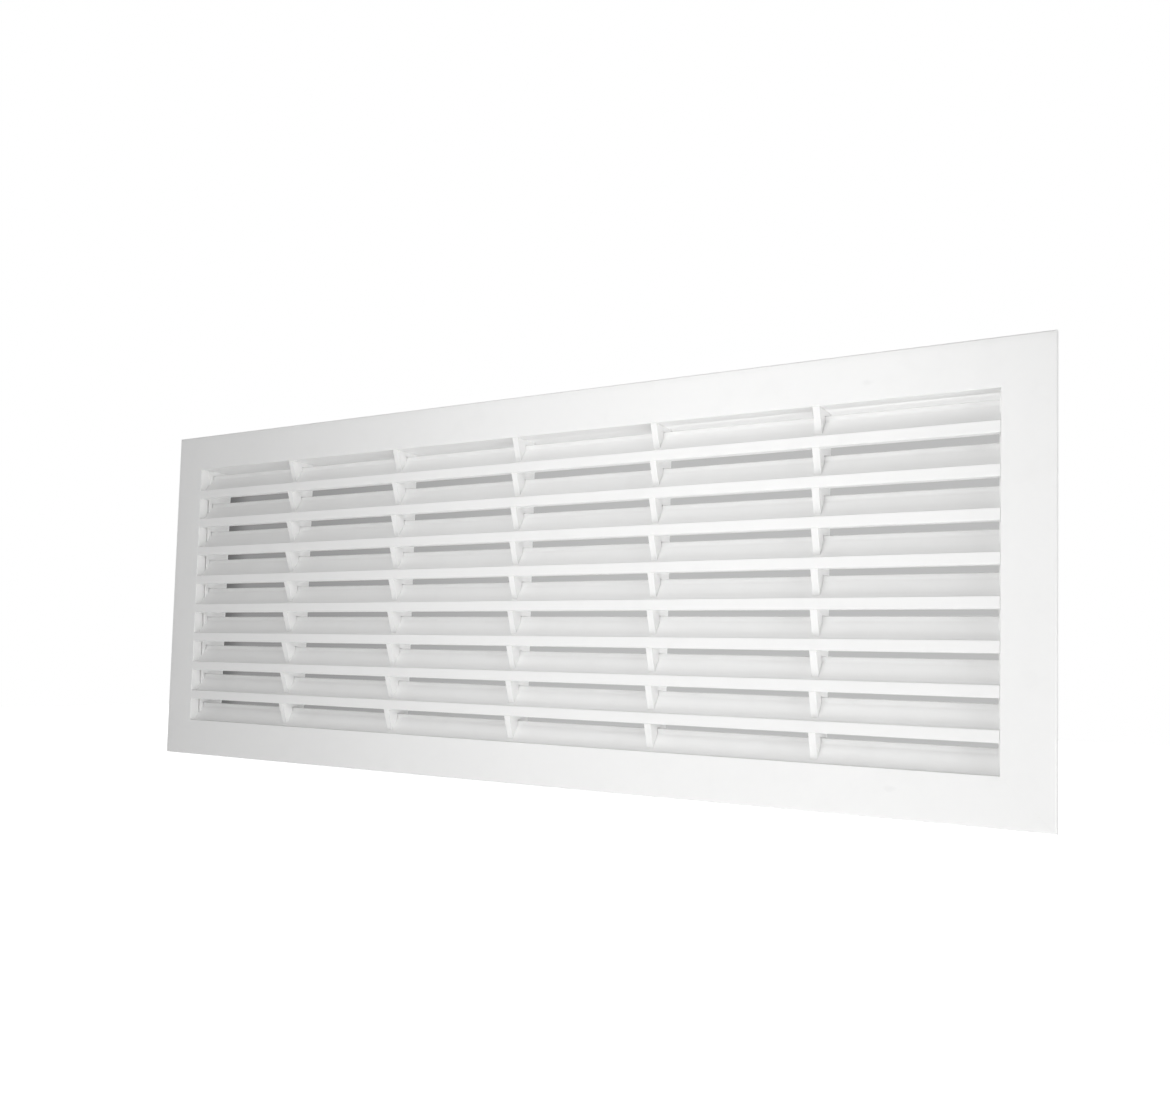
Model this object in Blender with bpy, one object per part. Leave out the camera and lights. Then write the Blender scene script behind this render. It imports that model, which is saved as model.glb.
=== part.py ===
# Fixed-blade wall grille with a flanged neck: mitred frame, level louvre blades
# and toothed upright plates that carry them.
# Metres. +X runs to the right of someone who faces the grille, +Y into the wall, +Z up.
# The origin is the middle of the neck, in the plane of the wall.

import math

import bmesh
import bpy

# Driving dimensions of the frame
OPENING_WIDTH = 0.5970
OPENING_HEIGHT = 0.1970
FLANGE_WIDTH = 0.0265
FACE_STAND = 0.0050
NECK_DEPTH = 0.0300
FRAME_WALL = 0.0015
RIM_BEVEL_WIDTH = 0.0050
RIM_BEVEL_DROP = 0.0004
OUTER_FOOT_WIDTH = 0.0075
INNER_FOOT_WIDTH = 0.0045
FOOT_THICKNESS = 0.0014
INNER_EDGE_RADIUS = 0.0012
RIM_RADIUS = 0.0010
REAR_EDGE_RADIUS = 0.0005

# Driving dimensions of the corner cleats
CLEAT_THICKNESS = 0.0015
CLEAT_LEG_LENGTH = 0.0420
CLEAT_CORNER_CUT = 0.0060

# Driving dimensions of the louvre blades
BLADE_PITCH = 0.0225
END_ROW_LEAST = 0.0190
NOSE_HEIGHT = 0.0068
NOSE_DEPTH = 0.0050
BLADE_WALL = 0.0014
RAMP_START = 0.0046
RAMP_RUN = 0.0063
RAMP_RISE = 0.0099
LIP_HEIGHT = 0.0028
NOSE_RADIUS = 0.0008
LIP_RADIUS = 0.0006
SILL_FOOT_DEPTH = 0.0140

# Driving dimensions of the mullions and end combs
MULLION_PITCH = 0.10075
MULLION_THICKNESS = 0.0040
END_COMB_THICKNESS = 0.0015
COMB_DEPTH = 0.0220
TOOTH_SET_BACK = 0.0003
TOOTH_SLOPE = 0.35
END_TOOTH_SET_BACK = 0.0075
END_TOOTH_SLOPE = 0.0

# Clearance between pieces that seat on each other
SEAT_GAP = 0.0003

# Steps in each rounded corner
CORNER_STEPS = 3

# As many blades as leave the least end row above the top one and under the lowest one,
# and as many mullions as the pitch fits into the opening
BLADE_COUNT = int((OPENING_HEIGHT - 2.0 * END_ROW_LEAST) / BLADE_PITCH) + 1
MULLION_COUNT = round(OPENING_WIDTH / MULLION_PITCH) - 1


def clear_scene():
    for item in list(bpy.data.objects):
        bpy.data.objects.remove(item, do_unlink=True)


def paint(name, colour, roughness, metallic):
    material = bpy.data.materials.new(name)
    material.use_nodes = True
    shader = material.node_tree.nodes["Principled BSDF"]
    shader.inputs["Base Color"].default_value = (*colour, 1.0)
    shader.inputs["Roughness"].default_value = roughness
    shader.inputs["Metallic"].default_value = metallic
    material.diffuse_color = (*colour, 1.0)
    return material


def rounded(corners):
    """Outline from (depth, height, radius) corners, with an arc where the radius isn't 0."""
    outline = []
    count = len(corners)
    for index in range(count):
        u, v, radius = corners[index]
        if radius == 0.0:
            outline.append((u, v))
            continue
        before = corners[index - 1]
        after = corners[(index + 1) % count]
        to_before = math.atan2(before[1] - v, before[0] - u)
        to_after = math.atan2(after[1] - v, after[0] - u)
        turn = (to_after - to_before + math.pi) % (2.0 * math.pi) - math.pi
        half = abs(turn) / 2.0
        reach = radius / math.sin(half)
        middle = to_before + turn / 2.0
        centre_u = u + reach * math.cos(middle)
        centre_v = v + reach * math.sin(middle)
        tangent = radius / math.tan(half)
        first_u = u + tangent * math.cos(to_before)
        first_v = v + tangent * math.sin(to_before)
        start = math.atan2(first_v - centre_v, first_u - centre_u)
        sweep = math.copysign(math.pi - abs(turn), -turn)
        for step in range(CORNER_STEPS + 1):
            angle = start + sweep * step / CORNER_STEPS
            outline.append((centre_u + radius * math.cos(angle), centre_v + radius * math.sin(angle)))
    return outline


def add_object(name, mesh_builder, material):
    bmesh.ops.recalc_face_normals(mesh_builder, faces=mesh_builder.faces[:])
    mesh = bpy.data.meshes.new(name)
    mesh_builder.to_mesh(mesh)
    mesh_builder.free()
    mesh.materials.append(material)
    mesh.shade_smooth()
    mesh.set_sharp_from_angle(angle=math.radians(40.0))
    item = bpy.data.objects.new(name, mesh)
    bpy.context.scene.collection.objects.link(item)
    return item


def extruded(name, outline, place, material):
    """Solid between the two ends of one outline; place(point, end) gives a corner at end -1 or +1."""
    solid = bmesh.new()
    corners = [solid.verts.new(place(point, -1)) for point in outline]
    end_face = solid.faces.new(corners)
    bmesh.ops.extrude_face_region(solid, geom=[end_face], use_keep_orig=True)
    near = set(corners)
    for corner, point in zip(corners, outline):
        neighbours = [edge.other_vert(corner) for edge in corner.link_edges]
        far = next(vert for vert in neighbours if vert not in near)
        far.co = place(point, 1)
    return add_object(name, solid, material)


def depth_to_y(depth):
    """Depth is counted from the flange's face into the wall."""
    return depth - FACE_STAND


def frame_outline():
    """Section of a frame side as (depth, distance outwards from the opening's edge)."""
    rim_inner = FLANGE_WIDTH - RIM_BEVEL_WIDTH
    lip_inner = FLANGE_WIDTH - FRAME_WALL
    foot_front = FACE_STAND - FOOT_THICKNESS
    corners = [
        (0.0, 0.0, INNER_EDGE_RADIUS),
        (0.0, rim_inner, 0.0),
        (RIM_BEVEL_DROP, FLANGE_WIDTH, RIM_RADIUS),
        (FACE_STAND, FLANGE_WIDTH, 0.0),
        (FACE_STAND, FLANGE_WIDTH - OUTER_FOOT_WIDTH, REAR_EDGE_RADIUS),
        (foot_front, FLANGE_WIDTH - OUTER_FOOT_WIDTH, REAR_EDGE_RADIUS),
        (foot_front, lip_inner, 0.0),
        (FRAME_WALL + RIM_BEVEL_DROP, lip_inner, 0.0),
        (FRAME_WALL, rim_inner, 0.0),
        (FRAME_WALL, FRAME_WALL, 0.0),
        (foot_front, FRAME_WALL, 0.0),
        (foot_front, FRAME_WALL + INNER_FOOT_WIDTH, REAR_EDGE_RADIUS),
        (FACE_STAND, FRAME_WALL + INNER_FOOT_WIDTH, REAR_EDGE_RADIUS),
        (FACE_STAND, FRAME_WALL, 0.0),
        (NECK_DEPTH, FRAME_WALL, REAR_EDGE_RADIUS),
        (NECK_DEPTH, 0.0, REAR_EDGE_RADIUS),
    ]
    return rounded(corners)


def make_frame(material):
    """Four mitred lengths of one section; half a seat gap comes off each mitre."""
    half_width = OPENING_WIDTH / 2.0
    half_height = OPENING_HEIGHT / 2.0
    mitre_trim = SEAT_GAP / math.sqrt(2.0)
    outline = frame_outline()

    def level(side):
        def place(point, end):
            depth, outwards = point
            return (end * (half_width + outwards - mitre_trim), depth_to_y(depth), side * (half_height + outwards))
        return place

    def upright(side):
        def place(point, end):
            depth, outwards = point
            return (side * (half_width + outwards), depth_to_y(depth), end * (half_height + outwards - mitre_trim))
        return place

    extruded("frame_top", outline, level(1), material)
    extruded("frame_bottom", outline, level(-1), material)
    extruded("frame_left", outline, upright(-1), material)
    extruded("frame_right", outline, upright(1), material)


def make_cleats(material):
    """Flat L plates in the channel between the flange's back and the feet."""
    inner = FRAME_WALL + SEAT_GAP
    outer = FLANGE_WIDTH - RIM_BEVEL_WIDTH - SEAT_GAP
    front = FRAME_WALL + SEAT_GAP
    outline = [
        (inner, inner),
        (inner, outer - CLEAT_LEG_LENGTH),
        (outer, outer - CLEAT_LEG_LENGTH),
        (outer, outer - CLEAT_CORNER_CUT),
        (outer - CLEAT_CORNER_CUT, outer),
        (outer - CLEAT_LEG_LENGTH, outer),
        (outer - CLEAT_LEG_LENGTH, inner),
    ]

    def at_corner(side_x, side_z):
        def place(point, end):
            across, along = point
            depth = front if end < 0 else front + CLEAT_THICKNESS
            x = side_x * (OPENING_WIDTH / 2.0 + across)
            z = side_z * (OPENING_HEIGHT / 2.0 + along)
            return (x, depth_to_y(depth), z)
        return place

    extruded("corner_cleat_top_left", outline, at_corner(-1, 1), material)
    extruded("corner_cleat_top_right", outline, at_corner(1, 1), material)
    extruded("corner_cleat_bottom_left", outline, at_corner(-1, -1), material)
    extruded("corner_cleat_bottom_right", outline, at_corner(1, -1), material)


def ramp_rear_depth(height):
    """Depth of the ramp's rear face at a height over the nose's middle."""
    slope = RAMP_RUN / RAMP_RISE
    thickness_along_depth = BLADE_WALL * math.hypot(RAMP_RUN, RAMP_RISE) / RAMP_RISE
    return RAMP_START + thickness_along_depth + (height - NOSE_HEIGHT / 2.0) * slope


def ramp_front_depth(height):
    """Depth of the ramp's front face at a height over the nose's middle."""
    return RAMP_START + (height - NOSE_HEIGHT / 2.0) * RAMP_RUN / RAMP_RISE


def blade_outline():
    """Section of a blade as (depth, height over the nose's middle): open nose, ramp and upright lip."""
    top = NOSE_HEIGHT / 2.0
    leg_inner = top - BLADE_WALL
    ramp_top = top + RAMP_RISE
    lip_front = RAMP_START + RAMP_RUN
    lip_rear = lip_front + BLADE_WALL
    lip_top = ramp_top + LIP_HEIGHT
    lip_rear_foot = ramp_top - (ramp_rear_depth(ramp_top) - lip_rear) * RAMP_RISE / RAMP_RUN
    corners = [
        (0.0, -top, NOSE_RADIUS),
        (0.0, top, NOSE_RADIUS),
        (RAMP_START, top, 0.0),
        (lip_front, ramp_top, 0.0),
        (lip_front, lip_top, LIP_RADIUS),
        (lip_rear, lip_top, LIP_RADIUS),
        (lip_rear, lip_rear_foot, 0.0),
        (ramp_rear_depth(leg_inner), leg_inner, 0.0),
        (BLADE_WALL, leg_inner, 0.0),
        (BLADE_WALL, -leg_inner, 0.0),
        (NOSE_DEPTH, -leg_inner, 0.0),
        (NOSE_DEPTH, -top, 0.0),
    ]
    return rounded(corners)


def sill_height():
    """Height of the neck's floor over the middle of the nose that the sill blade would have."""
    return -OPENING_HEIGHT / 2.0 - nose_middle(BLADE_COUNT)


def sill_outline():
    """Section of the sill blade: the same ramp and lip on a foot that runs back along the neck's floor."""
    floor = sill_height() + SEAT_GAP
    foot_top = floor + BLADE_WALL
    ramp_top = NOSE_HEIGHT / 2.0 + RAMP_RISE
    lip_front = RAMP_START + RAMP_RUN
    lip_rear = lip_front + BLADE_WALL
    lip_top = ramp_top + LIP_HEIGHT
    lip_rear_foot = ramp_top - (ramp_rear_depth(ramp_top) - lip_rear) * RAMP_RISE / RAMP_RUN
    corners = [
        (ramp_front_depth(floor), floor, 0.0),
        (lip_front, ramp_top, 0.0),
        (lip_front, lip_top, LIP_RADIUS),
        (lip_rear, lip_top, LIP_RADIUS),
        (lip_rear, lip_rear_foot, 0.0),
        (ramp_rear_depth(foot_top), foot_top, 0.0),
        (SILL_FOOT_DEPTH, foot_top, 0.0),
        (SILL_FOOT_DEPTH, floor, 0.0),
    ]
    return rounded(corners)


def nose_middle(index):
    """Height of the middle of a blade's nose, counted from the top blade."""
    return ((BLADE_COUNT - 1) / 2.0 - index) * BLADE_PITCH


def make_blades(material):
    half_length = OPENING_WIDTH / 2.0 - SEAT_GAP

    def at_height(middle):
        def place(point, end):
            depth, height = point
            return (end * half_length, depth_to_y(depth), middle + height)
        return place

    outline = blade_outline()
    for index in range(BLADE_COUNT):
        extruded(f"louvre_blade_{index + 1}", outline, at_height(nose_middle(index)), material)
    extruded("sill_blade", sill_outline(), at_height(nose_middle(BLADE_COUNT)), material)


def slot_front_depth(height):
    """Depth of the slot's front wall, one seat gap in front of the ramp."""
    slant = math.hypot(RAMP_RUN, RAMP_RISE) / RAMP_RISE
    return ramp_front_depth(height) - SEAT_GAP * slant


def slot_rear_depth(height):
    """Depth of the slot's rear wall, one seat gap behind the ramp."""
    slant = math.hypot(RAMP_RUN, RAMP_RISE) / RAMP_RISE
    return ramp_rear_depth(height) + SEAT_GAP * slant


def tooth_tip(tooth_top, set_back, slope):
    """Where a tooth's front edge runs into the slot's front wall, by height over the nose's middle.

    The front edge starts set_back deep at tooth_top and gets slope deeper for each metre down.
    """
    ramp_slope = RAMP_RUN / RAMP_RISE
    height = (set_back + tooth_top * slope - slot_front_depth(0.0)) / (ramp_slope + slope)
    return (slot_front_depth(height), height)


def slot_round_ramp(low_height):
    """Slot points from the front wall, over the lip and down the rear wall to a height."""
    ramp_top = NOSE_HEIGHT / 2.0 + RAMP_RISE
    slope = RAMP_RISE / RAMP_RUN
    front = RAMP_START + RAMP_RUN - SEAT_GAP
    rear = RAMP_START + RAMP_RUN + BLADE_WALL + SEAT_GAP
    top = ramp_top + LIP_HEIGHT + SEAT_GAP
    front_foot = ramp_top - (slot_front_depth(ramp_top) - front) * slope
    rear_foot = ramp_top - (slot_rear_depth(ramp_top) - rear) * slope
    return [
        (front, front_foot),
        (front, top),
        (rear, top),
        (rear, rear_foot),
        (slot_rear_depth(low_height), low_height),
    ]


def comb_outline(set_back, slope):
    """Outline of a toothed plate as (depth, height over the origin), from its top front corner down."""
    half_height = OPENING_HEIGHT / 2.0 - SEAT_GAP
    half_slot = NOSE_HEIGHT / 2.0 + SEAT_GAP
    slot_back = NOSE_DEPTH + SEAT_GAP
    outline = [(set_back, half_height)]
    tooth_top = half_height
    for index in range(BLADE_COUNT):
        middle = nose_middle(index)
        tip = tooth_tip(tooth_top - middle, set_back, slope)
        meeting = NOSE_HEIGHT / 2.0 - (slot_rear_depth(NOSE_HEIGHT / 2.0) - slot_back) * RAMP_RISE / RAMP_RUN
        run = [tip] + slot_round_ramp(meeting) + [(slot_back, -half_slot), (set_back, -half_slot)]
        outline.extend((depth, middle + height) for depth, height in run)
        tooth_top = middle - half_slot
    sill = nose_middle(BLADE_COUNT)
    foot_top = sill_height() + 2.0 * SEAT_GAP + BLADE_WALL
    run = [tooth_tip(tooth_top - sill, set_back, slope)] + slot_round_ramp(foot_top)
    run.append((SILL_FOOT_DEPTH + SEAT_GAP, foot_top))
    outline.extend((depth, sill + height) for depth, height in run)
    outline.append((SILL_FOOT_DEPTH + SEAT_GAP, -half_height))
    outline.append((COMB_DEPTH, -half_height))
    outline.append((COMB_DEPTH, half_height))
    return outline


def make_combs(material):
    outline = comb_outline(TOOTH_SET_BACK, TOOTH_SLOPE)
    end_outline = comb_outline(END_TOOTH_SET_BACK, END_TOOTH_SLOPE)

    def between(low_x, high_x):
        def place(point, end):
            depth, height = point
            return (high_x if end > 0 else low_x, depth_to_y(depth), height)
        return place

    half = MULLION_THICKNESS / 2.0
    for index in range(MULLION_COUNT):
        middle = (index - (MULLION_COUNT - 1) / 2.0) * MULLION_PITCH
        extruded(f"mullion_{index + 1}", outline, between(middle - half, middle + half), material)
    outer = OPENING_WIDTH / 2.0 - SEAT_GAP
    inner = outer - END_COMB_THICKNESS
    extruded("end_comb_left", end_outline, between(-outer, -inner), material)
    extruded("end_comb_right", end_outline, between(inner, outer), material)


def main():
    clear_scene()
    make_frame(paint("frame_paint", (0.80, 0.80, 0.79), 0.42, 0.0))
    make_cleats(paint("cleat_metal", (0.62, 0.63, 0.64), 0.38, 1.0))
    make_blades(paint("blade_paint", (0.82, 0.82, 0.81), 0.40, 0.0))
    make_combs(paint("comb_paint", (0.81, 0.81, 0.80), 0.44, 0.0))


main()
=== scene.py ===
# %% [markdown]
# # A white wall grille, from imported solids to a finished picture
# The grille is a flanged frame with a shallow neck, eight level louvre blades, one sill blade under them
# and toothed uprights that carry the blades. The solids arrive with their real sizes and places.
# This lesson models the finer metalwork over the plainer solids, gives each surface its finish,
# and sets the light and the camera. Every length is in metres. The face looks along -Y, and depth is
# counted from the flange's face into the wall.

# %% Load the frame
import math

import bmesh
import bpy
from mathutils import Matrix, Vector
from mathutils.bvhtree import BVHTree


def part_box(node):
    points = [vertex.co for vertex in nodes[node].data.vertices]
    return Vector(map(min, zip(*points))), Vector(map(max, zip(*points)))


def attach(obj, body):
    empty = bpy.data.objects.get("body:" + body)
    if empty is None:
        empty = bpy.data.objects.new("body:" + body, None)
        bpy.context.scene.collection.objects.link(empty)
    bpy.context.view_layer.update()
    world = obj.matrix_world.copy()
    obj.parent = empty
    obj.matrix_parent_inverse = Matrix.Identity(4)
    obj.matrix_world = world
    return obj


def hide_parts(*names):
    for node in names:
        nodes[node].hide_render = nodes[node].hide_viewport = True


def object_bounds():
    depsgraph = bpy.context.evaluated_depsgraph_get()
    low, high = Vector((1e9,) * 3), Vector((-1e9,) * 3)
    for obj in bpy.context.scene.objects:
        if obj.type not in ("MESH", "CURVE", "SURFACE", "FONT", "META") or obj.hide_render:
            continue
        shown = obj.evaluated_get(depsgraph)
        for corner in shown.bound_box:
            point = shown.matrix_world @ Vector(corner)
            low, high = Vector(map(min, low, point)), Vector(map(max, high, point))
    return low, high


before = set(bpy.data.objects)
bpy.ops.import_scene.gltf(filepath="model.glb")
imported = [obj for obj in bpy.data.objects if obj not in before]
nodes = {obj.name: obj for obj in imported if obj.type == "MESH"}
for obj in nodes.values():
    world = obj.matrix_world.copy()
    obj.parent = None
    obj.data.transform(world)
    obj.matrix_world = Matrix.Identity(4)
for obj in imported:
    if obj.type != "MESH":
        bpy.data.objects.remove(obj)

solid_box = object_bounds()
print("solids:", len(nodes))
print("their box:", [[round(float(value), 4) for value in corner] for corner in solid_box])

# %% [markdown]
# ## The view
# The photograph shows the grille from beyond its right end, a little above its bottom edge, so its
# long edges run together towards the left. The camera's place, its turn, its tilt and its roll were
# worked out from the four outer corners of the flange. The picture's middle lies a little off the lens
# axis, and a small shift makes up for that without tilting the camera further.

# %% Set the camera
PHOTO_WIDTH = 1170
FOCAL_PIXELS = 1067.6
CENTRE_DROP_PIXELS = 50.6
SENSOR_WIDTH_MM = 36.0
NEAREST_SEEN = 0.01
EYE = Vector((0.3894, -0.5736, -0.0488))
TURN_LEFT = math.radians(30.36)
TILT_UP = math.radians(3.234)
ROLL = math.radians(1.481)


def make_camera():
    lens = bpy.data.cameras.new("photo_camera")
    lens.sensor_fit = "HORIZONTAL"
    lens.sensor_width = SENSOR_WIDTH_MM
    lens.lens = SENSOR_WIDTH_MM * FOCAL_PIXELS / PHOTO_WIDTH
    lens.shift_y = CENTRE_DROP_PIXELS / PHOTO_WIDTH
    lens.clip_start = NEAREST_SEEN
    camera = bpy.data.objects.new("photo_camera", lens)
    bpy.context.scene.collection.objects.link(camera)
    turn = Matrix.Rotation(TURN_LEFT, 4, "Z")
    tilt = Matrix.Rotation(math.radians(90.0) + TILT_UP, 4, "X")
    roll = Matrix.Rotation(ROLL, 4, "Z")
    camera.matrix_world = Matrix.Translation(EYE) @ turn @ tilt @ roll
    bpy.context.scene.camera = camera
    return camera


photo_camera = make_camera()
print("camera at", tuple(round(value, 4) for value in EYE))
print("lens", round(photo_camera.data.lens, 2), "mm")

# %% [markdown]
# ## Sums in the shader
# A material is a tree of nodes. Written out link by link, even a simple mask takes a page, so this small
# class wraps a socket and lets Python sums add the Math nodes. Numbers alone are still worked out in
# Python. Every other node comes from one method, which sets the node up before its sockets are filled.

# %% Wrap a socket


class Wire:
    """One output socket of a material's tree, for use in sums."""

    def __init__(self, tree, socket=None):
        self.tree = tree
        self.socket = socket

    def node(self, kind, settings=None, inputs=None, output=0):
        made = self.tree.nodes.new(kind)
        for name, value in (settings or {}).items():
            setattr(made, name, value)
        for key, value in (inputs or {}).items():
            if isinstance(value, Wire):
                self.tree.links.new(value.socket, made.inputs[key])
            else:
                made.inputs[key].default_value = value
        return Wire(self.tree, made.outputs[output])

    def sum_node(self, operation, first, second):
        return self.node("ShaderNodeMath", {"operation": operation}, {0: first, 1: second})

    def __add__(self, other):
        return self.sum_node("ADD", self, other)

    def __radd__(self, other):
        return self.sum_node("ADD", other, self)

    def __sub__(self, other):
        return self.sum_node("SUBTRACT", self, other)

    def __rsub__(self, other):
        return self.sum_node("SUBTRACT", other, self)

    def __mul__(self, other):
        return self.sum_node("MULTIPLY", self, other)

    def larger(self, other):
        return self.sum_node("MAXIMUM", self, other)

    def smooth(self, low, high):
        """0 at low, 1 at high, held beyond them, with an easy curve between."""
        inputs = {"Value": self, "From Min": low, "From Max": high}
        return self.node("ShaderNodeMapRange", {"interpolation_type": "SMOOTHSTEP"}, inputs)


print("sums on sockets: + - * larger and smooth")

# %% [markdown]
# ## Powder coat
# The frame, blades and uprights are aluminium under a white powder coat. The coat flows a little as it is
# baked, so it has a very fine orange peel that the eye reads as satin, and its gloss drifts slowly from
# place to place. A trace of grey dust lies on it in soft patches. All of it is read from Object
# coordinates, in metres, so the texture keeps its real scale on a blade and on the frame alike.

# %% Start a material and make its noise
PEEL_SIZE = 0.0011
PEEL_HEIGHT = 0.00002
PEEL_STRENGTH = 0.35
DRIFT_SIZE = 0.09
DUST_SIZE = 0.018
GRAIN_SIZE = 0.004
NOISE_MIDDLE = 0.5


def start_material(name):
    material = bpy.data.materials.new(name)
    material.use_nodes = True
    tree = material.node_tree
    return material, tree, tree.nodes["Principled BSDF"]


def object_place(tree):
    return Wire(tree).node("ShaderNodeTexCoord", output="Object")


def noise(place, size, detail=2.0, offset=(0.0, 0.0, 0.0), stretch=(1.0, 1.0, 1.0)):
    """Noise with blotches about size metres across, drawn out where stretch is under 1."""
    inputs = {"Vector": place, "Location": offset, "Scale": stretch}
    moved = place.node("ShaderNodeMapping", {}, inputs)
    return place.node("ShaderNodeTexNoise", {}, {"Vector": moved, "Scale": 1.0 / size, "Detail": detail})


def tinted(shade, colour):
    """A colour times a grey shade, through a Mix node, because a Math node would turn it grey."""
    settings = {"data_type": "RGBA", "blend_type": "MULTIPLY"}
    return shade.node("ShaderNodeMix", settings, {"Factor": 1.0, 6: (*colour, 1.0), 7: shade}, output=2)


def bumped(height, strength, distance):
    inputs = {"Height": height, "Strength": strength, "Distance": distance}
    return height.node("ShaderNodeBump", {}, inputs)


def finish_surface(tree, shader, colour, gloss, bump):
    tree.links.new(colour.socket, shader.inputs["Base Color"])
    tree.links.new(gloss.socket, shader.inputs["Roughness"])
    tree.links.new(bump.socket, shader.inputs["Normal"])


print("orange peel", PEEL_SIZE * 1000.0, "mm wide and", PEEL_HEIGHT * 1000.0, "mm high")

# %% [markdown]
# ## Marks on the flange
# Two faint grey smudges sit on the flange near its right end, one above the blades and one below. Each
# mark is a small flat oval: the distance from its middle, with the height counted double, goes through an
# easy curve, and noise breaks its edge. Only the frame's paint gets them.

# %% Draw the smudges
SMUDGE_PLACES = ((0.230, 0.1085), (0.244, -0.1090))
SMUDGE_REACH = 0.0045
SMUDGE_CORE = 0.0009
SMUDGE_FLATNESS = 2.0
RAGGED_SIZE = 0.0022
RAGGED_DEPTH = 0.004
RAGGED_OFFSET = (4.2, 0.3, 1.9)


def smudges(place):
    """Mask of the marks: 1 in the middle of each, 0 away from them."""
    mask = None
    ragged = noise(place, RAGGED_SIZE, 3.0, RAGGED_OFFSET)
    for x, z in SMUDGE_PLACES:
        inputs = {
            "Vector": place,
            "Location": (-x, 0.0, -SMUDGE_FLATNESS * z),
            "Scale": (1.0, 0.0, SMUDGE_FLATNESS),
        }
        near = place.node("ShaderNodeMapping", {}, inputs)
        away = near.node("ShaderNodeVectorMath", {"operation": "LENGTH"}, {0: near}, output=1)
        mark = (away + (ragged - NOISE_MIDDLE) * RAGGED_DEPTH).smooth(SMUDGE_REACH, SMUDGE_CORE)
        mask = mark if mask is None else mask.larger(mark)
    return mask


print("smudges:", len(SMUDGE_PLACES), "about", 2000.0 * SMUDGE_REACH, "mm across")

# %% [markdown]
# ## The coat itself
# One function makes the coat of the frame and of the uprights. Slow drift, fine grain and dust each take
# a few hundredths off the white, and drift and dust also roughen the gloss. Grain and dust start at
# places of their own, so that their patterns don't lie on the drift's.

# %% Make the powder coats
PAINT_WHITE = (0.87, 0.87, 0.865)
FRAME_ROUGHNESS = 0.46
COMB_ROUGHNESS = 0.48
DRIFT_SHADE = 0.035
DRIFT_GLOSS = 0.10
GRAIN_SHADE = 0.012
GRAIN_OFFSET = (3.1, 1.7, 0.4)
DUST_SHADE = 0.012
DUST_GLOSS = 0.06
DUST_OFFSET = (0.6, 2.2, 5.1)
DUST_STARTS = 0.50
DUST_FULL = 0.72
SMUDGE_SHADE = 0.045
SMUDGE_GLOSS = 0.08


def powder_coat(name, roughness, with_smudges=False):
    material, tree, shader = start_material(name)
    place = object_place(tree)
    drift = noise(place, DRIFT_SIZE, 3.0) - NOISE_MIDDLE
    grain = noise(place, GRAIN_SIZE, 2.0, GRAIN_OFFSET) - NOISE_MIDDLE
    dust = noise(place, DUST_SIZE, 4.0, DUST_OFFSET).smooth(DUST_STARTS, DUST_FULL)
    shade = 1.0 - drift * DRIFT_SHADE - dust * DUST_SHADE - grain * GRAIN_SHADE
    gloss = roughness + drift * DRIFT_GLOSS + dust * DUST_GLOSS
    if with_smudges:
        mark = smudges(place)
        shade = shade - mark * SMUDGE_SHADE
        gloss = gloss + mark * SMUDGE_GLOSS
    peel = bumped(noise(place, PEEL_SIZE, 1.0), PEEL_STRENGTH, PEEL_HEIGHT)
    finish_surface(tree, shader, tinted(shade, PAINT_WHITE), gloss, peel)
    return material


frame_paint = powder_coat("frame_paint", FRAME_ROUGHNESS, with_smudges=True)
comb_paint = powder_coat("comb_paint", COMB_ROUGHNESS)
print("powder coats:", frame_paint.name, comb_paint.name)

# %% [markdown]
# ## The blades' coat
# A blade is pressed through a die, which leaves fine lines along its whole length. The coat fills them
# almost, so they show only as the faintest streaks. The same noise as before is drawn out along X, by
# scaling that axis down, and takes the place of the grain.

# %% Make the blade paint
BLADE_ROUGHNESS = 0.44
BLADE_DRIFT_SHADE = 0.03
BLADE_DRIFT_OFFSET = (1.3, 0.2, 0.7)
BLADE_DUST_SHADE = 0.016
BLADE_DUST_OFFSET = (2.6, 1.2, 0.1)
BLADE_DUST_STARTS = 0.48
BLADE_DUST_FULL = 0.74
STREAK_WIDTH = 0.0016
STREAK_STRETCH = (0.012, 1.0, 1.0)
STREAK_OFFSET = (0.0, 2.6, 3.3)
STREAK_SHADE = 0.022
STREAK_GLOSS = 0.05
STREAK_HEIGHT = 0.7


def streaked_coat(name, roughness):
    material, tree, shader = start_material(name)
    place = object_place(tree)
    drift = noise(place, DRIFT_SIZE, 3.0, BLADE_DRIFT_OFFSET) - NOISE_MIDDLE
    streak = noise(place, STREAK_WIDTH, 2.0, STREAK_OFFSET, STREAK_STRETCH)
    line = streak - NOISE_MIDDLE
    dust = noise(place, DUST_SIZE, 4.0, BLADE_DUST_OFFSET).smooth(BLADE_DUST_STARTS, BLADE_DUST_FULL)
    shade = 1.0 - drift * BLADE_DRIFT_SHADE - dust * BLADE_DUST_SHADE - line * STREAK_SHADE
    gloss = roughness + drift * DRIFT_GLOSS + dust * DUST_GLOSS + line * STREAK_GLOSS
    height = noise(place, PEEL_SIZE, 1.0) + streak * STREAK_HEIGHT
    peel = bumped(height, PEEL_STRENGTH, PEEL_HEIGHT)
    finish_surface(tree, shader, tinted(shade, PAINT_WHITE), gloss, peel)
    return material


blade_paint = streaked_coat("blade_paint", BLADE_ROUGHNESS)
print("streaks", STREAK_WIDTH * 1000.0, "mm wide on", blade_paint.name)

# %% [markdown]
# ## Bare aluminium for the corner cleats
# The cleats are cut from flat bar and hidden behind the flange. Their faces keep the fine lines of the
# mill, so the noise is drawn out a hundred times along X before it drives colour, gloss and bump.

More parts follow.
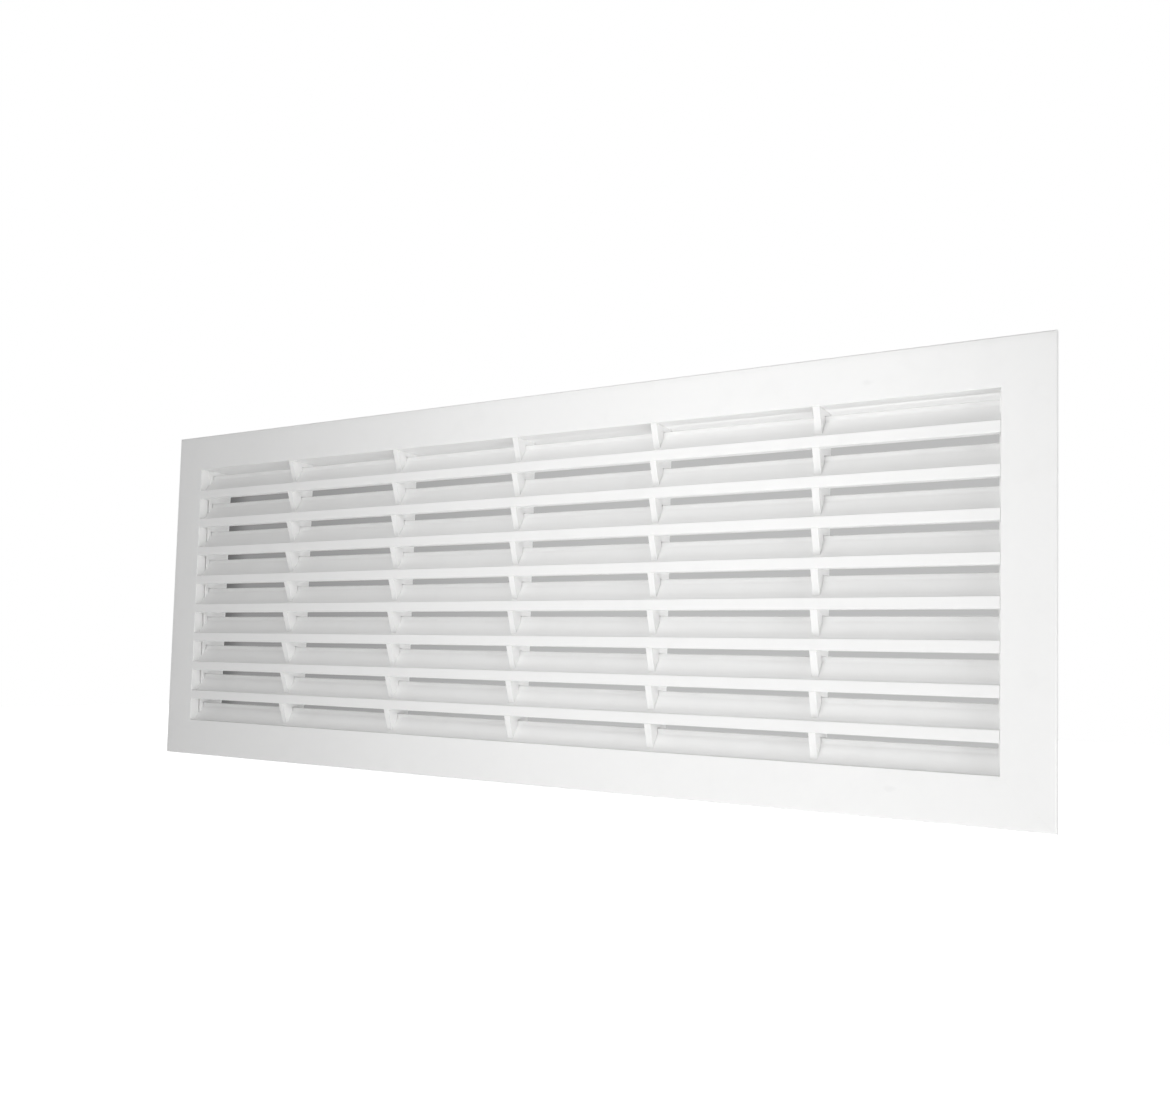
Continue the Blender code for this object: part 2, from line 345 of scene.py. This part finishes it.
# %% Make the mill finish
ALUMINIUM = (0.66, 0.67, 0.68)
MILL_SHADE = 0.92
MILL_ROUGHNESS = 0.30
MILL_STRENGTH = 0.4
MILL_LINE_WIDTH = 0.0004
MILL_STRETCH = (0.01, 1.0, 1.0)
MILL_LINE_SHADE = 0.12
MILL_LINE_GLOSS = 0.14
CLOUD_SIZE = 0.012
CLOUD_SHADE = 0.06
CLOUD_GLOSS = 0.08


def mill_finish(name):
    material, tree, shader = start_material(name)
    place = object_place(tree)
    lines = noise(place, MILL_LINE_WIDTH, 2.0, stretch=MILL_STRETCH)
    cloud = noise(place, CLOUD_SIZE, 3.0)
    shade = MILL_SHADE + lines * MILL_LINE_SHADE - cloud * CLOUD_SHADE
    gloss = MILL_ROUGHNESS + lines * MILL_LINE_GLOSS + cloud * CLOUD_GLOSS
    grooves = bumped(lines, MILL_STRENGTH, PEEL_HEIGHT)
    finish_surface(tree, shader, tinted(shade, ALUMINIUM), gloss, grooves)
    shader.inputs["Metallic"].default_value = 1.0
    return material


cleat_metal = mill_finish("cleat_metal")
print("mill finish:", cleat_metal.name)

# %% [markdown]
# ## Turning a bmesh into a finished piece
# Every piece here ends the same way: its normals point outwards, its mesh is shaded smooth except at
# sharp corners, and a Weighted Normal modifier lets the wide flat faces set the shading, so that only
# the small rounded edges bend the light. Then the piece hangs on the root body and its solid is hidden.

# %% Finish a piece
SHARP_ANGLE = math.radians(50.0)


def finish_piece(name, solid, node, material):
    bmesh.ops.recalc_face_normals(solid, faces=solid.faces[:])
    mesh = bpy.data.meshes.new(name)
    solid.to_mesh(mesh)
    solid.free()
    mesh.materials.append(material)
    mesh.shade_smooth()
    mesh.set_sharp_from_angle(angle=SHARP_ANGLE)
    piece = bpy.data.objects.new(name, mesh)
    bpy.context.scene.collection.objects.link(piece)
    weight = piece.modifiers.new("flat_faces_lead", "WEIGHTED_NORMAL")
    weight.keep_sharp = True
    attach(piece, "root")
    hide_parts(node)
    return piece


print("pieces are shaded sharp above", round(math.degrees(SHARP_ANGLE)), "degrees")

# %% [markdown]
# ## Bars and their long edges
# Frame and blades are extruded lengths, so both need the same two tools. One draws a section as a flat
# face and extrudes it along X. The other finds the long edge that runs through a corner of the section
# and bevels it round. Picking edges by their place keeps working when the mesh is numbered anew.

# %% Draw a bar and round its edges
SAME_POINT = 0.00001
LONG_EDGE = 0.01
ROUND_PROFILE = 0.5


def bar_through(corners, half_length):
    """Straight bar along X whose section is drawn by (y, z) corners."""
    solid = bmesh.new()
    verts = [solid.verts.new((-half_length, y, z)) for y, z in corners]
    end_face = solid.faces.new(verts)
    grown = bmesh.ops.extrude_face_region(solid, geom=[end_face], use_keep_orig=True)
    far = [item for item in grown["geom"] if isinstance(item, bmesh.types.BMVert)]
    bmesh.ops.translate(solid, verts=far, vec=(2.0 * half_length, 0.0, 0.0))
    return solid


def round_long_edges(solid, corner, radius, segments):
    """Rounds the edge that runs along X through a (y, z) corner."""
    chosen = []
    for edge in solid.edges:
        first, second = (vert.co for vert in edge.verts)
        runs_along = abs(first.x - second.x) > LONG_EDGE
        at_corner = abs(first.y - corner[0]) < SAME_POINT and abs(first.z - corner[1]) < SAME_POINT
        if runs_along and at_corner:
            chosen.append(edge)
    bmesh.ops.bevel(
        solid, geom=chosen, offset=radius, offset_type="OFFSET", segments=segments,
        profile=ROUND_PROFILE, affect="EDGES", material=-1,
    )


print("a long edge is over", LONG_EDGE * 1000.0, "mm")

# %% [markdown]
# ## The frame
# Each side of the frame is one extruded length. Its section has the wide flange, a rim that leans back
# by less than half a millimetre, an outer and an inner foot, and the wall of the neck. A length is drawn
# as a bar, its edges are rounded, and a plane at 45 degrees cuts each end for the mitre. The same bar,
# made to another length and turned about Y, gives the other sides. In the coat the mitres all but close,
# so the cut leaves only a hairline.

# %% Draw the frame's section
FACE_STAND = 0.0050
FLANGE_WIDTH = 0.0265
NECK_DEPTH = 0.0300
FRAME_WALL = 0.0015
RIM_BEVEL_WIDTH = 0.0050
RIM_BEVEL_DROP = 0.0004
OUTER_FOOT_WIDTH = 0.0075
INNER_FOOT_WIDTH = 0.0045
FOOT_THICKNESS = 0.0014
FOOT_RADIUS = 0.0005
INNER_EDGE_RADIUS = 0.0004
RIM_RADIUS = 0.0010


def frame_section():
    """(depth, distance outwards from the opening, radius) of each corner."""
    rim = FLANGE_WIDTH - RIM_BEVEL_WIDTH
    foot = FACE_STAND - FOOT_THICKNESS
    outer_foot = FLANGE_WIDTH - OUTER_FOOT_WIDTH
    inner_foot = FRAME_WALL + INNER_FOOT_WIDTH
    return [
        (0.0, 0.0, INNER_EDGE_RADIUS),
        (0.0, rim, 0.0),
        (RIM_BEVEL_DROP, FLANGE_WIDTH, RIM_RADIUS),
        (FACE_STAND, FLANGE_WIDTH, FOOT_RADIUS),
        (FACE_STAND, outer_foot, FOOT_RADIUS),
        (foot, outer_foot, FOOT_RADIUS),
        (foot, FLANGE_WIDTH - FRAME_WALL, 0.0),
        (FRAME_WALL + RIM_BEVEL_DROP, FLANGE_WIDTH - FRAME_WALL, 0.0),
        (FRAME_WALL, rim, 0.0),
        (FRAME_WALL, FRAME_WALL, 0.0),
        (foot, FRAME_WALL, 0.0),
        (foot, inner_foot, FOOT_RADIUS),
        (FACE_STAND, inner_foot, FOOT_RADIUS),
        (FACE_STAND, FRAME_WALL, 0.0),
        (NECK_DEPTH, FRAME_WALL, FOOT_RADIUS),
        (NECK_DEPTH, 0.0, FOOT_RADIUS),
    ]


half_width = solid_box[1][0] - FLANGE_WIDTH
half_height = solid_box[1][2] - FLANGE_WIDTH
print("opening", round(2.0 * half_width, 4), "x", round(2.0 * half_height, 4), "m")

# %% Cut the four lengths
FRAME_SEGMENTS = 5
MITRE_HAIRLINE = 0.00002


def mitre(solid, half_run, far, side):
    """Cuts one end along the line at 45 degrees through the opening's corner and closes it."""
    normal = Vector((side, 0.0, -1.0)).normalized()
    corner = Vector((side * half_run, 0.0, far)) - normal * MITRE_HAIRLINE / 2.0
    parts = solid.verts[:] + solid.edges[:] + solid.faces[:]
    cut = bmesh.ops.bisect_plane(solid, geom=parts, plane_co=corner, plane_no=normal, clear_outer=True)
    rim = [item for item in cut["geom_cut"] if isinstance(item, bmesh.types.BMEdge)]
    bmesh.ops.holes_fill(solid, edges=rim, sides=0)


def frame_length(node, half_run, far, turn):
    """One side of the frame, made as the top one and turned about Y to its place."""
    section = frame_section()
    corners = [(depth - FACE_STAND, far + out) for depth, out, radius in section]
    solid = bar_through(corners, half_run + 2.0 * FLANGE_WIDTH)
    for corner, (depth, out, radius) in zip(corners, section):
        if radius > 0.0:
            round_long_edges(solid, corner, radius, FRAME_SEGMENTS)
    mitre(solid, half_run, far, 1)
    mitre(solid, half_run, far, -1)
    turned = Matrix.Rotation(math.radians(turn), 3, "Y")
    bmesh.ops.rotate(solid, verts=solid.verts[:], cent=(0.0, 0.0, 0.0), matrix=turned)
    return finish_piece(f"{node}_metal", solid, node, frame_paint)


lengths = [
    frame_length("frame_top", half_width, half_height, 0.0),
    frame_length("frame_right", half_height, half_width, 90.0),
    frame_length("frame_bottom", half_width, half_height, 180.0),
    frame_length("frame_left", half_height, half_width, -90.0),
]
print("frame lengths:", {piece.name: len(piece.data.polygons) for piece in lengths})

# %% [markdown]
# ## The blades
# A blade is one thin wall, folded along its length: a square nose that is open behind, a ramp that climbs
# as it goes back, and a small upright lip. So it is drawn as a single line, swept along X into a
# sheet, and solidify gives the sheet its wall on the inner side. That keeps the wall even round the
# folds, which a closed outline drawn by hand wouldn't. The outer folds are rounded last. The blades run
# almost to the neck's side walls, because the coat closes the seat that the solids leave there.

# %% Fold a blade
BLADE_WALL = 0.0014
NOSE_HEIGHT = 0.0068
NOSE_DEPTH = 0.0050
RAMP_START = 0.0046
RAMP_RUN = 0.0063
RAMP_RISE = 0.0099
LIP_HEIGHT = 0.0028
NOSE_RADIUS = 0.0008
LIP_RADIUS = 0.0006
FOLD_RADIUS = 0.0009
RIDGE_RADIUS = 0.0005
BLADE_SEGMENTS = 4
SEAT_HAIRLINE = 0.00005
lip_depth = RAMP_START + RAMP_RUN


def folded_sheet(line, half_length, wall):
    """Sheet along X through (y, z) points, thickened to the right of the line's direction."""
    solid = bmesh.new()
    verts = [solid.verts.new((-half_length, y, z)) for y, z in line]
    edges = [solid.edges.new(pair) for pair in zip(verts, verts[1:])]
    grown = bmesh.ops.extrude_edge_only(solid, edges=edges)
    far = [item for item in grown["geom"] if isinstance(item, bmesh.types.BMVert)]
    bmesh.ops.translate(solid, verts=far, vec=(2.0 * half_length, 0.0, 0.0))
    bmesh.ops.solidify(solid, geom=solid.faces[:], thickness=wall)
    return solid


blade_half_length = half_width - SEAT_HAIRLINE
print("a blade is", round(2000.0 * blade_half_length, 1), "mm long")
print("its wall is", 1000.0 * BLADE_WALL, "mm")

# %% Make the blades


def blade_from_line(node, line, rounds):
    """line holds (depth, height) points of the outer face; rounds holds (depth, height, radius)."""
    points = [(depth - FACE_STAND, height) for depth, height in line]
    sheet = folded_sheet(points, blade_half_length, BLADE_WALL)
    for depth, height, radius in rounds:
        round_long_edges(sheet, (depth - FACE_STAND, height), radius, BLADE_SEGMENTS)
    return finish_piece(f"{node}_metal", sheet, node, blade_paint)


def louvre_blade(node):
    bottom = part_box(node)[0].z
    top = bottom + NOSE_HEIGHT
    ramp_top = top + RAMP_RISE
    crest = ramp_top + LIP_HEIGHT
    line = [
        (NOSE_DEPTH, bottom),
        (0.0, bottom),
        (0.0, top),
        (RAMP_START, top),
        (lip_depth, ramp_top),
        (lip_depth, crest),
    ]
    rounds = [
        (0.0, bottom, NOSE_RADIUS),
        (0.0, top, NOSE_RADIUS),
        (RAMP_START, top, RIDGE_RADIUS),
        (lip_depth, ramp_top, FOLD_RADIUS),
        (lip_depth, crest, LIP_RADIUS),
        (lip_depth + BLADE_WALL, crest, LIP_RADIUS),
    ]
    return blade_from_line(node, line, rounds)


def sill_blade(node):
    """The lowest ramp stands on a foot that runs back along the neck's floor."""
    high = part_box(node)[1]
    floor = SEAT_HAIRLINE - half_height
    crest = high.z
    ramp_top = crest - LIP_HEIGHT
    ramp_foot = lip_depth - (ramp_top - floor) * RAMP_RUN / RAMP_RISE
    line = [
        (high.y + FACE_STAND, floor),
        (ramp_foot, floor),
        (lip_depth, ramp_top),
        (lip_depth, crest),
    ]
    rounds = [
        (lip_depth, ramp_top, FOLD_RADIUS),
        (lip_depth, crest, LIP_RADIUS),
        (lip_depth + BLADE_WALL, crest, LIP_RADIUS),
    ]
    return blade_from_line(node, line, rounds)


blades = [louvre_blade(name) for name in sorted(nodes) if name.startswith("louvre_blade")]
blades.append(sill_blade("sill_blade"))
print("blades:", {piece.name: len(piece.data.polygons) for piece in blades})

# %% [markdown]
# ## Uprights, end combs and cleats
# These are flat plates, and their outlines in the solids are already right: teeth, slots and all. So
# each plate starts as a copy of its solid, whose loose triangles are merged and whose flat faces are
# dissolved into whole ones.
#
# ## Seats in the coat
# The solids keep a fraction of a millimetre free round each blade and beside each wall. On the real
# grille the coat runs into those seats and closes them, and no dark line shows there. So the corners of
# the slots are moved up to the blades, all but a hairline, and the plates' ends up to the neck's walls.

# %% Close the seats
FLAT_ANGLE = math.radians(1.0)
SEAT_REACH = 0.00045
SEAT_PASSES = 3


def surface_of(pieces):
    """Search tree over the faces of all the pieces."""
    joined = bmesh.new()
    for piece in pieces:
        joined.from_mesh(piece.data)
    tree = BVHTree.FromBMesh(joined)
    joined.free()
    return tree


def plate_copy(node):
    solid = bmesh.new()
    solid.from_mesh(nodes[node].data)
    bmesh.ops.remove_doubles(solid, verts=solid.verts[:], dist=SAME_POINT)
    bmesh.ops.dissolve_limit(
        solid, angle_limit=FLAT_ANGLE, verts=solid.verts[:], edges=solid.edges[:],
    )
    return solid


def close_blade_seats(solid):
    """Moves each corner that lies close to a blade up to it, and returns the moved ones."""
    seated = set()
    for _ in range(SEAT_PASSES):
        for vert in solid.verts:
            spot, _, _, gap = blade_surface.find_nearest(vert.co, SEAT_REACH)
            if spot is not None and gap > 0.0:
                vert.co = spot + (vert.co - spot) * (SEAT_HAIRLINE / gap)
                seated.add(vert)
    return seated


def close_wall_seats(solid):
    """Moves each corner that lies close to the neck's inner wall up to it, and returns the moved ones."""
    seated = set()
    for axis, wall in ((0, half_width - SEAT_HAIRLINE), (2, half_height - SEAT_HAIRLINE)):
        for vert in solid.verts:
            if abs(vert.co[axis]) > wall - SEAT_REACH:
                vert.co[axis] = math.copysign(wall, vert.co[axis])
                seated.add(vert)
    return seated


blade_surface = surface_of(blades)
print("seats closed to", SEAT_HAIRLINE * 1000.0, "mm")

# %% [markdown]
# ## Broken edges
# A stamped and coated plate has slightly broken edges, and they are what catches the light. Every sharp
# edge gets a small bevel, apart from those that lie in a seat, where a bevel would open a groove again.

# %% Break the edges of the plates
PLATE_EDGE = 0.00035
CLEAT_EDGE = 0.0002
PLATE_SEGMENTS = 2
EDGE_ANGLE = math.radians(20.0)


def plate_with_broken_edges(node, edge_size, material, slot):
    solid = plate_copy(node)
    seated = set()
    if slot == "comb_paint":
        seated = close_blade_seats(solid) | close_wall_seats(solid)
    chosen = []
    for edge in solid.edges:
        if edge.calc_face_angle(0.0) > EDGE_ANGLE and not seated.issuperset(edge.verts):
            chosen.append(edge)
    bmesh.ops.bevel(
        solid, geom=chosen, offset=edge_size, offset_type="OFFSET", segments=PLATE_SEGMENTS,
        profile=ROUND_PROFILE, affect="EDGES", material=-1, clamp_overlap=True,
    )
    return finish_piece(f"{node}_plate", solid, node, material)


plates = []
for name in sorted(nodes):
    if name.startswith(("mullion", "end_comb")):
        plates.append(plate_with_broken_edges(name, PLATE_EDGE, comb_paint, "comb_paint"))
    elif name.startswith("corner_cleat"):
        plates.append(plate_with_broken_edges(name, CLEAT_EDGE, cleat_metal, "cleat_metal"))
print("plates:", {piece.name: len(piece.data.polygons) for piece in plates})

# %% [markdown]
# ## Floor, shade and white surround
# The grille hangs as it does in a wall, so the floor lies well below it and takes only a soft shadow. The
# floor glows white to the camera and throws less light back than it shows.
#
# Inside a wall, the duct behind the blades is dim. A card just inside the rear of the neck stands for it
# with painted shade: a grey that glows to the camera, a little darker to the left, where less light gets
# in, and darkest in the duct's left corner, where that corner's shade is painted. The card shows only its
# front, so the back of the grille stays open to view, and it neither throws a shadow nor lights anything.

# %% Make the stage
FLOOR_DROP = 0.33
FLOOR_SIZE = 14.0
FLOOR_GREY = 0.9
FLOOR_ROUGHNESS = 0.9
FLOOR_GLOW = 0.9
FLOOR_BOUNCE = 0.215
# painted shade on the duct card: its grey at the left and right ends, and the extra dark of its left
# corner
PAINTED_SHADE_LEFT = 0.27
PAINTED_SHADE_RIGHT = 0.50
CARD_PALE_FROM = 0.10
PAINTED_CORNER_SHADE = 0.13
CORNER_WIDTH = 0.028
CARD_INSET = 0.0006


def flat_sheet(name, width, height, middle, turn, material):
    """Rectangle about middle, level at first and then turned about X."""
    builder = bmesh.new()
    bmesh.ops.create_grid(builder, x_segments=1, y_segments=1, size=0.5)
    bmesh.ops.scale(builder, verts=builder.verts[:], vec=(width, height, 1.0))
    turned = Matrix.Rotation(math.radians(turn), 3, "X")
    bmesh.ops.rotate(builder, verts=builder.verts[:], cent=(0.0, 0.0, 0.0), matrix=turned)
    bmesh.ops.translate(builder, verts=builder.verts[:], vec=middle)
    mesh = bpy.data.meshes.new(name)
    builder.to_mesh(mesh)
    builder.free()
    mesh.materials.append(material)
    sheet = bpy.data.objects.new(name, mesh)
    bpy.context.scene.collection.objects.link(sheet)
    return sheet


def white_floor_material():
    material, tree, shader = start_material("stage_floor")
    shader.inputs["Base Color"].default_value = (FLOOR_GREY, FLOOR_GREY, FLOOR_GREY, 1.0)
    shader.inputs["Roughness"].default_value = FLOOR_ROUGHNESS
    shader.inputs["Emission Strength"].default_value = 1.0
    seen = Wire(tree).node("ShaderNodeLightPath", output="Is Camera Ray")
    glow = FLOOR_BOUNCE + seen * (FLOOR_GLOW - FLOOR_BOUNCE)
    tree.links.new(glow.socket, shader.inputs["Emission Color"])
    return material


def painted_shade_material():
    material, tree, shader = start_material("stage_painted_shade")
    tree.nodes.remove(shader)
    start = Wire(tree)
    place_x = start.node("ShaderNodeSeparateXYZ", {}, {0: object_place(tree)})
    # painted shade: the card's grey darkens towards the left, and most in the duct's left corner
    along = place_x.smooth(-half_width, CARD_PALE_FROM)
    corner = place_x.smooth(CORNER_WIDTH - half_width, -half_width)
    shade = PAINTED_SHADE_LEFT + along * (PAINTED_SHADE_RIGHT - PAINTED_SHADE_LEFT) - corner * PAINTED_CORNER_SHADE
    grey = start.node("ShaderNodeEmission", {}, {"Color": shade})
    clear = start.node("ShaderNodeBsdfTransparent")
    rear = start.node("ShaderNodeNewGeometry", output="Backfacing")
    mixed = start.node("ShaderNodeMixShader", {}, {0: rear, 1: grey, 2: clear})
    tree.links.new(mixed.socket, tree.nodes["Material Output"].inputs["Surface"])
    return material


floor_z = solid_box[0][2] - FLOOR_DROP
flat_sheet("stage_floor", FLOOR_SIZE, FLOOR_SIZE, (0.0, 0.0, floor_z), 0.0, white_floor_material())
card_y = NECK_DEPTH - FACE_STAND - CARD_INSET
card_size = (2.0 * (half_width - CARD_INSET), 2.0 * (half_height - CARD_INSET))
card = flat_sheet("stage_shade", *card_size, (0.0, card_y, 0.0), 90.0, painted_shade_material())
card.visible_shadow = False
card.visible_diffuse = False
card.visible_glossy = False
print("floor at", round(floor_z, 3), "card at", round(card_y, 4))

# %% [markdown]
# ## Light
# The photograph's light is soft and comes from several sides. Each lamp answers one thing that the
# picture shows:
#
# - The key lamp stands right of the middle and a little above. It makes the flange palest there, and
#   the lower the row, the more each bar shades the lip behind it.
# - The high lamp is farther off and well above. It reaches the bars and the flange, but not the lips.
# - The low lamp in front makes the lower half as pale as the upper one.
# - The fill stands low and far out to the right, where it grazes the face and reaches the right-hand
#   sides of the uprights.
# - The rear lamp, low behind the grille, lights the rear of the neck's ceiling, which shows as a bright
#   band over the top blade.
#
# Their powers were found by rendering each lamp alone and weighing the pictures against the photograph.
# The world is plain white to the camera, to reflections and through glass, and dimmer as a light.

# %% Set the lamps and the world
KEY_PLACE = Vector((0.10, -0.36, 0.13))
KEY_SIZE = 0.34
KEY_POWER = 0.55
FILL_PLACE = Vector((0.95, -0.23, -0.17))
FILL_SIZE = 0.40
FILL_POWER = 2.1
LOW_PLACE = Vector((0.15, -0.50, -0.38))
LOW_SIZE = 0.34
LOW_POWER = 1.10
HIGH_PLACE = Vector((0.10, -0.70, 0.45))
HIGH_SIZE = 0.34
HIGH_POWER = 0.53
REAR_PLACE = Vector((0.25, 0.12, -0.25))
REAR_SIZE = 0.20
REAR_POWER = 0.68
AMBIENT = 0.295


def make_lamp(name, place, target, size, power):
    data = bpy.data.lights.new(name, "AREA")
    data.shape = "DISK"
    data.size = size
    data.energy = power
    lamp = bpy.data.objects.new(name, data)
    lamp.location = place
    lamp.rotation_euler = (target - place).to_track_quat("-Z", "Y").to_euler()
    lamp.visible_camera = False
    bpy.context.scene.collection.objects.link(lamp)
    return lamp


def make_world():
    world = bpy.data.worlds.new("white_room")
    bpy.context.scene.world = world
    world.use_nodes = True
    tree = world.node_tree
    background = tree.nodes["Background"]
    start = Wire(tree)
    camera_ray = start.node("ShaderNodeLightPath", output="Is Camera Ray")
    glossy_ray = start.node("ShaderNodeLightPath", output="Is Glossy Ray")
    clear_ray = start.node("ShaderNodeLightPath", output="Is Transmission Ray")
    seen = camera_ray.larger(glossy_ray).larger(clear_ray)
    background.inputs["Color"].default_value = (1.0, 1.0, 1.0, 1.0)
    tree.links.new((AMBIENT + seen * (1.0 - AMBIENT)).socket, background.inputs["Strength"])


make_lamp("key_lamp", KEY_PLACE, Vector((KEY_PLACE.x, 0.0, 0.0)), KEY_SIZE, KEY_POWER)
make_lamp("fill_lamp", FILL_PLACE, Vector((0.0, 0.0, 0.0)), FILL_SIZE, FILL_POWER)
make_lamp("low_lamp", LOW_PLACE, Vector((LOW_PLACE.x, 0.0, 0.0)), LOW_SIZE, LOW_POWER)
make_lamp("high_lamp", HIGH_PLACE, Vector((HIGH_PLACE.x, 0.0, 0.0)), HIGH_SIZE, HIGH_POWER)
make_lamp("rear_lamp", REAR_PLACE, Vector((0.0, 0.0, half_height)), REAR_SIZE, REAR_POWER)
make_world()
bpy.context.scene.view_settings.view_transform = "Standard"
print("key, fill and rear lamps:", KEY_POWER, FILL_POWER, REAR_POWER, "W")
print("low and high lamps:", LOW_POWER, HIGH_POWER, "W, world:", AMBIENT)
